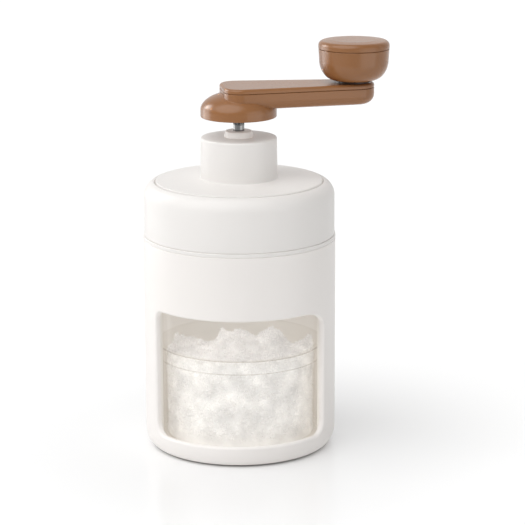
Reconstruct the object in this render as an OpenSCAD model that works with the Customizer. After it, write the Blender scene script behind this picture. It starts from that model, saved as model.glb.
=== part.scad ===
/* [Shell] */
// Outside radius of the shell
shell_r = 48; // [47.8:0.1:49]
// Thickness of the shell wall
shell_wall = 2.7; // [2.6:0.1:2.9]
// Height of the shell rim above the table
shell_h = 106.6; // [106:0.2:110]
// Width of the curve under the shell
base_curve_w = 5.3; // [4:0.1:6]
// Height of the curve under the shell
base_curve_h = 9; // [7:0.5:10]

/* [Window] */
// Height of the lower edge of the window
window_low = 10.9; // [9:0.1:14]
// Height of the upper edge of the window
window_high = 74.6; // [68:0.2:75]
// Angle from the front to each side of the window
window_angle = 60; // [40:1:62]
// Radius of the corners of the window
window_corner = 6.2; // [4:0.2:8]

/* [Cup] */
// Radius of the band round the cup rim
cup_rim_r = 42; // [41.4:0.1:42.2]
// Inside radius of the cup at its rim
cup_bore_r = 38.2; // [37.8:0.1:38.6]
// Height of the cup from its foot to its rim
cup_h = 49.15; // [44:0.5:52]
// Height of the band round the cup rim
cup_band_h = 7; // [5:0.5:9]

/* [Cover] */
// Outside radius of the cover
cover_r = 47.5; // [47:0.1:47.6]
// Radius of the shoulder of the cover
shoulder_r = 7.4; // [6.8:0.1:8]
// Radius of the round plate let into the cover
plate_r = 42; // [41.5:0.1:42.2]
// Radius of the neck at its top
neck_r = 18.95; // [18.5:0.05:19.4]
// Height of the neck top above the table
neck_top_z = 157.1; // [156:0.1:158]

/* [Crank] */
// Distance from the shaft to the knob
crank_reach = 57.8; // [52:0.2:66]
// Angle of the arm round the shaft
crank_angle = 8.4; // [0:0.1:30]
// Radius of the shaft
shaft_r = 2.8; // [2.6:0.05:2.9]
// Radius of the domed hub
hub_r = 18.9; // [18:0.1:20]
// Radius of the knob
knob_r = 17.7; // [16:0.1:19]
// Height of the knob
knob_h = 20; // [18:0.1:21]

/* [Press] */
// Radius of the press plate
press_r = 35.3; // [34:0.1:36]
// Turns of the spring between its flat ends
spring_turns = 9; // [7:1:10]
// Thickness of the spring wire
spring_wire = 1.4; // [1:0.1:1.6]

/* [Hidden] */

SMOOTH = 96;
eps = 0.01;
gap = 0.05;

// Colours
white = [0.93, 0.92, 0.90];
clear = [0.85, 0.90, 0.92, 0.35];
steel = [0.72, 0.72, 0.74];
tan_brown = [0.60, 0.44, 0.33];
rubber_grey = [0.35, 0.35, 0.36];

// Shell levels
pad_t = 1.55;
pad_r = 36;
shell_base_z = 0.6;
pad_recess_z = shell_base_z + 1;
floor_z = 4;
shell_bore_r = shell_r - shell_wall;
wall_mid_r = shell_r - shell_wall / 2;
notch_r = shell_bore_r + 1.4;
notch_angle = 4;
notch_h = 3.2;
key_count = 3;

// Pane and its guides
pane_out_r = shell_bore_r - 0.1;
pane_in_r = pane_out_r - 1.2;
pane_z = floor_z + gap;
pane_top_z = window_high + 8.4;
pane_angle = window_angle + 6.5;
guide_lip_r = cup_rim_r + 0.45;

// Cup levels
cup_z = floor_z + gap;
cup_rim_z = cup_z + cup_h;
cup_wall = 2.2;
cup_foot_r = cup_bore_r + 0.6;

// Chamber levels
chamber_bore_r = 37;
chamber_wall = 2.5;
chamber_out_r = chamber_bore_r + chamber_wall;
flange_z = shell_h;
flange_top_z = flange_z + 1.9;
chamber_floor_z = window_high + 1.4;
ice_floor_z = chamber_floor_z + 3;
chamber_skirt_z = window_high - 1.1;
collar_in_r = 41;
collar_out_r = 43;
collar_top_z = flange_top_z + 6.5;
ramp_z = flange_top_z + 3.5;
ramp_h = 1.5;
ramp_r = collar_out_r + 1.8;
ramp_angle = 30;
lug_angle = 24;
lug_z = flange_top_z + 1.3;
lug_h = 1.8;
twist = 35;
spigot_z = flange_z - 5;
spigot_wall = 2;

// Blade, set along its own slope with the edge just above the ice floor
blade_z = ice_floor_z + 0.3;
blade_slope = 30;
blade_start_x = 4;
blade_w = 30;
blade_len = 14;
blade_t = 0.8;
clamp_start = 3.5;
clamp_len = 9.5;
clamp_t = 1.2;
blade_screw_x = [10, 28];
blade_screw_u = 8;
blade_screw_r = 1.5;
mouth_gap = 2;

// Cover levels
cover_wall = 2.5;
cover_bore_r = cover_r - cover_wall;
cover_top_z = flange_top_z + 27;
plate_top_z = cover_top_z - 0.25;
plate_t = 2.5;
plate_under_z = plate_top_z - plate_t;
ledge_in_r = 33;
ledge_z = plate_under_z - 2.5;
seal_z = collar_top_z + gap;
seal_t = 1.95;
shelf_z = seal_z + seal_t + gap;
plate_screw_r = 38.3;
plate_boss_r = 3.2;
plate_screws_n = 4;

// Neck levels
neck_base_r = neck_r + 0.55;
neck_wall = 2.15;
neck_foot_z = cover_top_z + 1.2;
neck_ceiling_z = neck_top_z - 2.5;
bush_r = 5;
bush_bore_r = shaft_r + gap;
bush_bottom_z = neck_ceiling_z - 4.6;
collar_h = 3.1;
seat_t = 1.2;

// Press levels
press_web_z = ice_floor_z + 3.5;
press_web_t = 2.4;
press_rim_t = 2;
press_rim_h = 4.5;
press_hub_r = 8;
press_hub_z = press_web_z + 11.5;
press_boss_z = press_web_z - 2.1;
shaft_foot_z = press_boss_z + 1.1;
plate_pin_z = press_web_z + 7.5;
spike_z = ice_floor_z + 0.9;
spike_r = 1.1;
spring_r = 6.5;
spring_low_z = press_hub_z + gap + 1.2 + gap;
spring_high_z = neck_ceiling_z - seat_t - gap;

// Crank levels
hub_z = neck_top_z + 10.1;
hub_wall_h = 3.5;
hub_dome_h = 9.3;
arm_z = hub_z + 5;
arm_seam_z = hub_z + 13.2;
arm_top_z = hub_z + 15.6;
arm_corner_r = 8.5;
arm_half_w = 15.5;
arm_back = 8.4;
arm_end_r = 10.2;
nut_floor_z = hub_z + 9.4;
shaft_top_z = arm_seam_z - 0.4;
thread_r = 2.4;
axle_r = 3;
axle_thread_r = 2.2;
knob_z = arm_top_z + 1.15;
knob_seam_z = knob_z + knob_h - 4.4;
bush_top_z = knob_z + 10.1;

// Direction of the arc from the corner's first tangent point to its second
function unit(v) = v / norm(v);
function turn_between(a, b) = let(t = b - a) t > 180 ? t - 360 : t < -180 ? t + 360 : t;

// A corner of an outline as an arc of the radius its point asks for: [x, y, radius]
function corner(before, here, after, r, steps = 6) =
    let(
        a = unit(before - here),
        b = unit(after - here),
        half = acos(a * b) / 2,
        centre = here + unit(a + b) * r / sin(half),
        start = here + a * r / tan(half) - centre,
        finish = here + b * r / tan(half) - centre,
        from = atan2(start[1], start[0]),
        sweep = turn_between(from, atan2(finish[1], finish[0]))
    )
    [for (i = [0:steps]) centre + r * [cos(from + sweep * i / steps), sin(from + sweep * i / steps)]];

function flat(p) = [p[0], p[1]];
function rounded(points) = [
    for (i = [0:len(points) - 1])
        let(
            here = points[i],
            before = points[(i + len(points) - 1) % len(points)],
            after = points[(i + 1) % len(points)]
        )
        each (here[2] == undef ? [here] : corner(flat(before), flat(here), flat(after), here[2]))
];

// Points along a quarter or part of an ellipse
function ellipse(centre, half_w, half_h, from, to, steps = 10) = [
    for (i = [0:steps])
        let(t = from + (to - from) * i / steps)
        [centre[0] + half_w * cos(t), centre[1] + half_h * sin(t)]
];

module turned(outline) {
    rotate_extrude($fn = SMOOTH) polygon(rounded(outline));
}

module ring(out_r, in_r, z, h) {
    rotate_extrude($fn = SMOOTH) translate([in_r, z]) square([out_r - in_r, h]);
}

// A block between two radii, two heights and two angles, counted from the front
module arc_block(in_r, out_r, low, high, from, to) {
    rotate([0, 0, from - 90])
        rotate_extrude(angle = to - from, $fn = SMOOTH)
            translate([in_r, low]) square([out_r - in_r, high - low]);
}

// ---- Shell and what stays in it ----

// The window as a block with radial walls: columns of 4 corners each, closer together round its corners
module window_cut() {
    in_r = shell_bore_r - 1;
    out_r = shell_r + 1.5;
    corner_turn = asin(window_corner / wall_mid_r);
    side = window_angle - corner_turn;
    wide_steps = 18;
    corner_steps = 9;
    corner_part = [for (i = [1:corner_steps]) 90 * i / corner_steps];
    angles = concat(
        [for (i = [corner_steps - 1:-1:0]) -side - corner_turn * sin(corner_part[i])],
        [for (i = [0:wide_steps]) -side + 2 * side * i / wide_steps],
        [for (t = corner_part) side + corner_turn * sin(t)]
    );
    rises = concat(
        [for (i = [corner_steps - 1:-1:0]) window_corner * (1 - cos(corner_part[i]))],
        [for (i = [0:wide_steps]) 0],
        [for (t = corner_part) window_corner * (1 - cos(t))]
    );
    last = len(angles) - 1;
    points = [
        for (i = [0:last])
            for (r = [in_r, out_r])
                for (z = [window_low + rises[i], window_high - rises[i]])
                    [r * sin(angles[i]), -r * cos(angles[i]), z]
    ];
    sides = [
        for (i = [0:last - 1])
            let(a = 4 * i, b = 4 * i + 4)
            each [[b, b + 1, a + 1, a], [a + 3, b + 3, b + 2, a + 2], [a + 2, b + 2, b, a], [b + 1, b + 3, a + 3, a + 1]]
    ];
    ends = [[1, 3, 2, 0], [4 * last + 2, 4 * last + 3, 4 * last + 1, 4 * last]];
    polyhedron(points, concat(sides, ends));
}

// A rib beside the pane with a lip that laps its inner face, turned to either side by mirroring
module pane_guide(side) {
    near = pane_angle + 0.4;
    far = pane_angle + 2.8;
    lip = pane_angle - 1.8;
    mirror([side < 0 ? 1 : 0, 0, 0]) {
        arc_block(guide_lip_r - 0.1, shell_bore_r + 0.3, floor_z - 0.3, pane_top_z, near, far);
        arc_block(guide_lip_r, pane_in_r - 0.1, floor_z - 0.5, pane_top_z - 0.5, lip, far - 1);
    }
}

module outer_shell() {
    curve_centre = [shell_r - base_curve_w, shell_base_z + base_curve_h];
    under = ellipse(curve_centre, base_curve_w, base_curve_h, -90, 0);
    color(white) difference() {
        union() {
            turned(concat(
                [[0, pad_recess_z], [pad_r + 0.2, pad_recess_z], [pad_r + 0.2, shell_base_z]],
                under,
                [[shell_r, shell_h, 0.5], [shell_bore_r, shell_h, 0.4], [shell_bore_r, floor_z], [0, floor_z]]
            ));
            ring(cup_foot_r + 2, cup_foot_r + 0.5, floor_z - eps, 1.5);
            pane_guide(-1);
            pane_guide(1);
        }
        window_cut();
        for (i = [0:key_count - 1])
            rotate([0, 0, i * 360 / key_count])
                arc_block(shell_bore_r - 1, notch_r, shell_h - notch_h, shell_h + 1, -notch_angle, notch_angle);
    }
}

module window_pane() {
    color(clear) arc_block(pane_in_r, pane_out_r, pane_z, pane_top_z, -pane_angle, pane_angle);
}

module foot_pad() {
    color(rubber_grey) turned([[0, 0], [pad_r, 0, 0.5], [pad_r, pad_t], [0, pad_t]]);
}

module ice_cup() {
    wall_top_r = cup_bore_r + cup_wall;
    band_z = cup_rim_z - cup_band_h;
    color(clear) turned([
        [0, cup_z], [cup_foot_r, cup_z, 1.5], [wall_top_r, band_z], [cup_rim_r, band_z, 0.4],
        [cup_rim_r, cup_rim_z, 1.2], [cup_bore_r, cup_rim_z, 1.2],
        [cup_foot_r - cup_wall, cup_z + cup_wall, 2], [0, cup_z + cup_wall]
    ]);
}

// ---- Ice chamber with its blade ----

module chamber_body() {
    turned([
        [0, chamber_floor_z], [chamber_bore_r + 0.8, chamber_floor_z], [chamber_bore_r + 0.8, chamber_skirt_z],
        [chamber_out_r, chamber_skirt_z], [chamber_out_r, flange_z - 0.6], [shell_bore_r - 2.1, flange_z - 0.6],
        [shell_bore_r - 2.1, spigot_z], [shell_bore_r - 0.1, spigot_z, 0.4], [shell_bore_r - 0.1, flange_z],
        [shell_r, flange_z, 0.4], [shell_r, flange_top_z, 0.4], [collar_out_r, flange_top_z],
        [collar_out_r, collar_top_z, 0.5], [collar_in_r, collar_top_z, 0.5],
        [collar_in_r, flange_top_z], [chamber_bore_r + 1.5, flange_top_z], [chamber_bore_r, flange_top_z - 1.5],
        [chamber_bore_r, ice_floor_z, 1], [0, ice_floor_z]
    ]);
}

module bayonet_ramps() {
    stop_angle = lug_angle / 2 + 0.6;
    for (i = [0:key_count - 1])
        rotate([0, 0, i * 360 / key_count + twist]) {
            arc_block(collar_out_r - 0.5, ramp_r, ramp_z, ramp_z + ramp_h, -ramp_angle / 2, ramp_angle / 2);
            arc_block(collar_out_r - 0.8, ramp_r - 0.2, flange_top_z - 0.5, ramp_z + ramp_h + 0.4,
                stop_angle, stop_angle + 3.6);
        }
}

module flange_keys() {
    for (i = [0:key_count - 1])
        rotate([0, 0, i * 360 / key_count])
            arc_block(shell_bore_r - 1, notch_r - 0.2, flange_z - 3, flange_z + 0.5,
                0.4 - notch_angle, notch_angle - 0.4);
}

module blade_bed() {
    low = chamber_floor_z - 5;
    intersection() {
        translate([1, -17, low]) cube([36, 25, ice_floor_z - low - 1]);
        cylinder(r = chamber_out_r - 0.2, h = ice_floor_z, $fn = SMOOTH);
    }
}

// The open mouth under the blade: the bed's slope behind it, a steeper lip in front
module blade_mouth() {
    back = (blade_len + 0.6) * cos(blade_slope);
    drop = (blade_len + 0.6) * sin(blade_slope);
    top_z = ice_floor_z + 1;
    over = (top_z - blade_z) / tan(blade_slope);
    translate([blade_start_x - 0.5, 0, 0])
        rotate([90, 0, 90])
            linear_extrude(blade_w + 1)
                polygon([
                    [over, top_z], [-back, blade_z - drop], [-back, chamber_floor_z - 6],
                    [9, chamber_floor_z - 6], [mouth_gap + 0.5, chamber_floor_z], [mouth_gap + over, top_z]
                ]);
}

// A point down the blade's slope, and below it by its depth
function down_slope(u, n) = [
    -u * cos(blade_slope) + n * sin(blade_slope),
    blade_z - u * sin(blade_slope) - n * cos(blade_slope)
];

module sloped_plate(outline) {
    translate([blade_start_x, 0, 0])
        rotate([90, 0, 90])
            linear_extrude(blade_w) polygon([for (p = outline) down_slope(p[0], p[1])]);
}

module across_slope(x, u, n) {
    place = down_slope(u, n);
    translate([x, place[0], place[1]]) rotate([180 + blade_slope, 0, 0]) children();
}

module blade_screw_holes(r, depth) {
    for (x = blade_screw_x)
        across_slope(x, blade_screw_u, -depth) cylinder(r = r, h = depth + 6, $fn = SMOOTH);
}

module ice_chamber() {
    color(white) difference() {
        union() {
            chamber_body();
            bayonet_ramps();
            flange_keys();
            blade_bed();
        }
        blade_mouth();
        blade_screw_holes(blade_screw_r + gap, 3.2);
    }
}

module blade() {
    bevel = 1.2;
    color(steel) difference() {
        sloped_plate([[0, 0], [blade_len, 0], [blade_len, blade_t], [bevel, blade_t]]);
        blade_screw_holes(blade_screw_r + 0.1, 3.2);
    }
}

module blade_clamp() {
    color(steel) difference() {
        sloped_plate([
            [clamp_start, blade_t], [clamp_start + clamp_len, blade_t],
            [clamp_start + clamp_len, blade_t + clamp_t], [clamp_start + 1, blade_t + clamp_t]
        ]);
        blade_screw_holes(blade_screw_r + 0.1, 3.2);
    }
}

module blade_screws() {
    head_n = blade_t + clamp_t;
    color(steel) for (x = blade_screw_x) {
        across_slope(x, blade_screw_u, -3) cylinder(r = blade_screw_r, h = 3 + head_n + 0.5, $fn = SMOOTH);
        across_slope(x, blade_screw_u, head_n) difference() {
            cylinder(r1 = 2.8, r2 = 2.2, h = 1.8, $fn = SMOOTH);
            translate([-0.4, -1.6, 1]) cube([0.8, 3.2, 1]);
            translate([-1.6, -0.4, 1]) cube([3.2, 0.8, 1]);
        }
    }
}

// ---- Cover ----

module lid_seal() {
    color(rubber_grey) turned([
        [collar_in_r, seal_z, 0.3], [collar_out_r, seal_z, 0.3],
        [collar_out_r, seal_z + seal_t, 0.3], [collar_in_r, seal_z + seal_t, 0.3]
    ]);
}

module cover_shell() {
    shoulder_centre = [cover_r - shoulder_r, cover_top_z - shoulder_r];
    plate_seat_r = plate_r + 0.3;
    shoulder_end = acos((plate_seat_r - shoulder_centre[0]) / shoulder_r);
    color(white) difference() {
        union() {
            turned(concat(
                [[cover_r, flange_top_z, 0.4]],
                ellipse(shoulder_centre, shoulder_r, shoulder_r, 0, shoulder_end),
                [
                    [plate_seat_r, plate_under_z], [ledge_in_r, plate_under_z, 0.5], [ledge_in_r, ledge_z, 0.5],
                    [cover_bore_r, ledge_z, 2], [cover_bore_r, shelf_z + 2],
                    [collar_in_r, shelf_z + 2, 0.4], [collar_in_r, shelf_z, 0.4],
                    [cover_bore_r, shelf_z], [cover_bore_r, flange_top_z]
                ]
            ));
            for (i = [0:key_count - 1])
                rotate([0, 0, i * 360 / key_count])
                    arc_block(collar_out_r + 0.3, cover_bore_r + 0.5, lug_z, lug_z + lug_h,
                        -lug_angle / 2, lug_angle / 2);
        }
        at_plate_screws() translate([0, 0, ledge_z - 1])
            cylinder(r = plate_boss_r + 0.1, h = 4.5, $fn = SMOOTH);
    }
}

module at_plate_screws() {
    for (i = [0:plate_screws_n - 1])
        rotate([0, 0, 45 + i * 360 / plate_screws_n]) translate([plate_screw_r, 0, 0]) children();
}

module top_plate() {
    rise_r = ledge_in_r - 1.5;
    neck_in_r = neck_r - neck_wall;
    color(white) difference() {
        union() {
            turned([
                [bush_r + gap, neck_ceiling_z], [neck_in_r, neck_ceiling_z, 1], [neck_in_r, neck_foot_z - 2.6, 1.2],
                [rise_r, plate_under_z], [plate_r, plate_under_z], [plate_r, plate_top_z, 0.5],
                [neck_base_r, neck_foot_z, 0.8], [neck_r, neck_top_z, 1.1], [bush_r + gap, neck_top_z]
            ]);
            at_plate_screws() translate([0, 0, ledge_z + gap])
                cylinder(r = plate_boss_r, h = plate_under_z - ledge_z + 0.5, $fn = SMOOTH);
        }
        at_plate_screws() translate([0, 0, ledge_z - 1]) cylinder(r = 1.55, h = 5.1, $fn = SMOOTH);
    }
}

module plate_screws() {
    head_t = 1.65;
    color(steel) at_plate_screws() difference() {
        union() {
            translate([0, 0, ledge_z - head_t]) cylinder(r = 4.2, h = head_t, $fn = SMOOTH);
            translate([0, 0, ledge_z - eps]) cylinder(r = 1.5, h = 4, $fn = SMOOTH);
        }
        translate([-2, -0.4, ledge_z - head_t - 0.5]) cube([4, 0.8, 1.2]);
        translate([-0.4, -2, ledge_z - head_t - 0.5]) cube([0.8, 4, 1.2]);
    }
}

module shaft_bush() {
    color(white) turned([
        [bush_bore_r, bush_bottom_z], [bush_r, bush_bottom_z, 0.4], [bush_r, neck_top_z],
        [bush_r + 2.4, neck_top_z, 0.4], [bush_r + 1.65, neck_top_z + collar_h, 0.6],
        [bush_bore_r, neck_top_z + collar_h, 0.3]
    ]);
}

module spring_seat() {
    color(steel) ring(spring_r + 2.1, bush_r + 0.1, neck_ceiling_z - seat_t, seat_t);
}

// A wire of 8 flats wound round the shaft, with its ends cut square to it
module press_spring() {
    sides = 8;
    per_turn = 18;
    rings = spring_turns * per_turn;
    low = spring_low_z + spring_wire / 2;
    rise = spring_high_z - spring_low_z - spring_wire;
    function wire_point(i, k) =
        let(
            turn = i * 360 / per_turn,
            around = k * 360 / sides,
            out = spring_r + spring_wire / 2 * cos(around)
        )
        [out * cos(turn), out * sin(turn), low + rise * i / rings + spring_wire / 2 * sin(around)];
    points = [for (i = [0:rings]) for (k = [0:sides - 1]) wire_point(i, k)];
    walls = [
        for (i = [0:rings - 1]) for (k = [0:sides - 1])
            let(next = (k + 1) % sides)
            [i * sides + k, (i + 1) * sides + k, (i + 1) * sides + next, i * sides + next]
    ];
    first = [for (k = [0:sides - 1]) k];
    last = [for (k = [sides - 1:-1:0]) rings * sides + k];
    color(steel) polyhedron(points, concat([first, last], walls));
}

// ---- Press carriage ----

module thrust_washer() {
    color(steel) ring(spring_r + 2.1, bush_bore_r, press_hub_z + gap, 1.2);
}

module at_spikes() {
    for (i = [0:5]) rotate([0, 0, 30 + i * 60]) translate([16, 0, 0]) children();
    for (i = [0:11]) rotate([0, 0, 15 + i * 30]) translate([27, 0, 0]) children();
}

module press_plate() {
    web_top_z = press_web_z + press_web_t;
    rim_top_z = press_web_z + press_rim_h;
    color(white) difference() {
        union() {
            turned([
                [0, press_boss_z], [press_hub_r, press_boss_z, 0.4], [press_hub_r + 1.5, press_web_z],
                [press_r, press_web_z, 0.6], [press_r, rim_top_z, 0.4], [press_r - press_rim_t, rim_top_z, 0.4],
                [press_r - press_rim_t, web_top_z], [press_hub_r, web_top_z, 1.5],
                [press_hub_r, press_hub_z, 0.5], [0, press_hub_z]
            ]);
            for (i = [0:5])
                rotate([0, 0, i * 60])
                    translate([press_hub_r - 1, -0.9, web_top_z - eps])
                        cube([press_r - press_hub_r - 0.4, 1.8, press_rim_h - press_web_t + 1]);
        }
        translate([0, 0, shaft_foot_z - 0.1]) cylinder(r = shaft_r + gap, h = 20, $fn = SMOOTH);
        translate([0, 0, plate_pin_z]) rotate([90, 0, 0])
            cylinder(r = 1.3, h = 3 * press_hub_r, center = true, $fn = SMOOTH);
        at_spikes() translate([0, 0, press_web_z - 1]) cylinder(r = spike_r + gap, h = 5, $fn = SMOOTH);
    }
}

module plate_pin() {
    color(steel) translate([0, 0, plate_pin_z]) rotate([90, 0, 0])
        cylinder(r = 1.25, h = 2 * press_hub_r - 1, center = true, $fn = SMOOTH);
}

module ice_pins() {
    tip_h = 1.6;
    color(steel) at_spikes() {
        translate([0, 0, spike_z]) cylinder(r1 = 0.2, r2 = spike_r, h = tip_h, $fn = SMOOTH);
        translate([0, 0, spike_z + tip_h])
            cylinder(r = spike_r, h = press_web_z + press_web_t - spike_z - tip_h, $fn = SMOOTH);
    }
}

// ---- Crank ----

module drive_shaft() {
    color(steel) difference() {
        turned([
            [0, shaft_foot_z], [shaft_r, shaft_foot_z, 0.4], [shaft_r, hub_z + 0.2], [shaft_r + 1.4, hub_z + 0.2, 0.3],
            [shaft_r + 1.4, hub_z + 1.4, 0.3], [shaft_r, hub_z + 1.4], [shaft_r, nut_floor_z],
            [thread_r, nut_floor_z], [thread_r, shaft_top_z, 0.4], [0, shaft_top_z]
        ]);
        translate([0, 0, plate_pin_z]) rotate([90, 0, 0])
            cylinder(r = 1.3, h = 3 * shaft_r, center = true, $fn = SMOOTH);
        along_arm() translate([shaft_r - 0.5, -shaft_r, hub_z + 1.5])
            cube([2, 2 * shaft_r, nut_floor_z - hub_z - 1.5]);
    }
}

// Plan of the arm, drawn in by an inset: a broad rounded end over the hub and a round end under the knob
module arm_plan(inset) {
    corner_r = arm_corner_r - inset;
    end_r = arm_end_r - inset;
    near_x = arm_corner_r - arm_back;
    near_y = arm_half_w - arm_corner_r;
    lean = atan2(near_y, crank_reach - near_x) + asin((corner_r - end_r) / norm([crank_reach - near_x, near_y]));
    normal = [sin(lean), cos(lean)];
    for (side = [-1, 1]) translate([near_x, side * near_y]) circle(r = corner_r, $fn = SMOOTH);
    translate([near_x - corner_r, -near_y]) square([corner_r, 2 * near_y]);
    translate([crank_reach, 0]) circle(r = end_r, $fn = SMOOTH);
    near = [near_x, near_y] + corner_r * normal;
    far = [crank_reach, 0] + end_r * normal;
    polygon([[near_x, near[1]], near, far, [far[0], -far[1]], [near[0], -near[1]], [near_x, -near[1]]]);
}

module along_arm() {
    rotate([0, 0, crank_angle]) children();
}

module hub_dome() {
    turned(concat(
        [[0, hub_z + 3], [hub_r - 2.4, hub_z + 3], [hub_r - 2.4, hub_z], [hub_r, hub_z, 0.5]],
        ellipse([0, hub_z + hub_wall_h], hub_r, hub_dome_h, 0, 90, 16)
    ));
}

module arm_lower() {
    levels = [[arm_z, 3.6], [arm_z + 0.9, 1.6], [arm_z + 2.4, 0.4]];
    side_z = arm_z + 4.4;
    hull() {
        for (level = levels) translate([0, 0, level[0]]) linear_extrude(eps) arm_plan(level[1]);
        translate([0, 0, side_z]) linear_extrude(arm_seam_z - side_z) arm_plan(0);
    }
}

module hub_hollow() {
    turned(concat(
        [[shaft_r + 3.4, hub_z - 1], [hub_r - 2.5, hub_z - 1]],
        ellipse([0, hub_z + hub_wall_h - 0.8], hub_r - 2.5, 4.6, 0, 68),
        [[shaft_r + 3.4, hub_z + hub_wall_h + 3.4]]
    ));
}

module crank_body() {
    pocket_z = arm_z + 2.6;
    color(tan_brown) along_arm() difference() {
        union() {
            hub_dome();
            arm_lower();
            translate([0, 0, hub_z + 1.5]) cylinder(r = shaft_r + 3.4, h = 6, $fn = SMOOTH);
        }
        difference() {
            hub_hollow();
            translate([0, 0, hub_z + 1.45]) cylinder(r = shaft_r + 3.4, h = 20, $fn = SMOOTH);
        }
        difference() {
            translate([0, 0, hub_z]) cylinder(r = shaft_r + gap, h = 20, $fn = SMOOTH);
            translate([shaft_r - 0.45, -5, hub_z]) cube([5, 10, 20]);
        }
        translate([0, 0, hub_z - 1]) cylinder(r = shaft_r + 3.5, h = 2.45, $fn = SMOOTH);
        translate([0, 0, nut_floor_z]) cylinder(r = 6.6, h = 10, $fn = SMOOTH);
        translate([20, -5, pocket_z]) cube([26, 10, 10]);
        translate([crank_reach, 0, arm_z - 1]) cylinder(r = 6.6, h = 3.6, $fn = SMOOTH);
        translate([crank_reach, 0, arm_z]) cylinder(r = axle_r + gap, h = 20, $fn = SMOOTH);
    }
}

module arm_cover() {
    color(tan_brown) along_arm() difference() {
        hull() {
            translate([0, 0, arm_seam_z]) linear_extrude(eps) arm_plan(0.35);
            translate([0, 0, arm_seam_z + 0.3]) linear_extrude(0.8) arm_plan(0);
            translate([0, 0, arm_top_z - 0.5]) linear_extrude(eps) arm_plan(0.5);
            translate([0, 0, arm_top_z - eps]) linear_extrude(eps) arm_plan(1.4);
        }
        translate([crank_reach, 0, arm_seam_z - 1]) cylinder(r = axle_r + gap, h = 10, $fn = SMOOTH);
    }
}

module hub_washer() {
    color(steel) ring(5.5, thread_r + gap, nut_floor_z, 0.8);
}

module hex_nut(across, bore_r, h) {
    difference() {
        cylinder(d = across / cos(30), h = h, $fn = 6);
        translate([0, 0, -1]) cylinder(r = bore_r, h = h + 2, $fn = SMOOTH);
    }
}

module hub_nut() {
    color(steel) translate([0, 0, nut_floor_z + 0.8]) hex_nut(8, thread_r + gap, 2.4);
}

module at_knob() {
    along_arm() translate([crank_reach, 0, 0]) children();
}

module knob_axle() {
    color(steel) at_knob() turned([
        [0, arm_z + 0.9], [6, arm_z + 0.9, 0.4], [6, arm_z + 2.55], [axle_r, arm_z + 2.55],
        [axle_r, bush_top_z + 0.1], [axle_thread_r, bush_top_z + 0.1],
        [axle_thread_r, bush_top_z + 3, 0.3], [0, bush_top_z + 3]
    ]);
}

module axle_nut() {
    color(steel) at_knob() translate([0, 0, bush_top_z + 0.1]) hex_nut(8, axle_thread_r + gap, 2.6);
}

module knob_washer() {
    color(white) at_knob() ring(7.6, axle_r + gap, arm_top_z, 1.05);
}

module knob_body() {
    curve_w = 7.9;
    curve_h = 10.2;
    color(tan_brown) at_knob() turned(concat(
        [[4.55, knob_z]],
        ellipse([knob_r - 0.45 - curve_w, knob_z + curve_h], curve_w, curve_h, -90, 0),
        [
            [knob_r - 0.1, knob_seam_z, 0.2], [knob_r - 2.5, knob_seam_z], [knob_r - 2.8, knob_z + curve_h, 5],
            [11, knob_z + 2.4, 2], [7.2, knob_z + 2.4, 1], [7.2, bush_top_z], [4.55, bush_top_z]
        ]
    ));
}

module knob_bush() {
    color(white) at_knob() ring(4.5, axle_r + gap, knob_z + gap, bush_top_z - knob_z - gap);
}

module knob_cap() {
    top_z = knob_z + knob_h;
    color(tan_brown) at_knob() turned([
        [0, knob_seam_z + gap], [knob_r - 2.6, knob_seam_z + gap], [knob_r, knob_seam_z + gap, 0.4],
        [knob_r, top_z - 0.7, 1.7], [11, top_z, 8], [0, top_z]
    ]);
}

outer_shell();
window_pane();
foot_pad();
ice_cup();
ice_chamber();
blade();
blade_clamp();
blade_screws();
lid_seal();
cover_shell();
top_plate();
plate_screws();
shaft_bush();
spring_seat();
press_spring();
thrust_washer();
press_plate();
plate_pin();
ice_pins();
drive_shaft();
crank_body();
arm_cover();
hub_washer();
hub_nut();
knob_axle();
axle_nut();
knob_washer();
knob_body();
knob_bush();
knob_cap();
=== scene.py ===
import math
import random

import bmesh
import bpy
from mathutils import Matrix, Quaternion, Vector, noise


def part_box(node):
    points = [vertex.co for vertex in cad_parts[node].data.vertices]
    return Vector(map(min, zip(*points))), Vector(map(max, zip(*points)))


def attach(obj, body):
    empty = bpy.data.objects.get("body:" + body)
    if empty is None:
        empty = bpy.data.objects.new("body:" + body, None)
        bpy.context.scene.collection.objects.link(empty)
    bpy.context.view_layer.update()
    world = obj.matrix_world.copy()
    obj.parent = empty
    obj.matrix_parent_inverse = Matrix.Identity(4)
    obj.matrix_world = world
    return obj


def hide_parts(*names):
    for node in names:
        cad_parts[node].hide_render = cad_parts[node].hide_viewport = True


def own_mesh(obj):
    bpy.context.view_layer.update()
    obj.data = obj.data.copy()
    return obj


MM = 0.001
TURN = 2 * math.pi
FINE = 192

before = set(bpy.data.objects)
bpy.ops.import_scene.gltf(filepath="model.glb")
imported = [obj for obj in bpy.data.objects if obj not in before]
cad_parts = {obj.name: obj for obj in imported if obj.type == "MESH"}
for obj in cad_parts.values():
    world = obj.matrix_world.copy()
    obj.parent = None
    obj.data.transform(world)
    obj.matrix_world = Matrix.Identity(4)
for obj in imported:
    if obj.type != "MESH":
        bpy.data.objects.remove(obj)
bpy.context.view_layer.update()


# ---- Sizes, in millimetres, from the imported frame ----

def low(node):
    """A CAD node's lowest corner."""
    return [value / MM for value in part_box(node)[0]]


def high(node):
    """A CAD node's highest corner."""
    return [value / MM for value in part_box(node)[1]]


SHELL_R = high("outer_shell")[0]
SHELL_Z = low("outer_shell")[2]
SHELL_TOP = high("outer_shell")[2]
SHELL_WALL = 2.7
SHELL_BORE = SHELL_R - SHELL_WALL
SHELL_FLOOR = 4.0
SHELL_CURVE = (5.3, 9.0)
NOTCH_Z = 103.4
NOTCH_DEPTH = 1.4
NOTCH_HALF = 4

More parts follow.
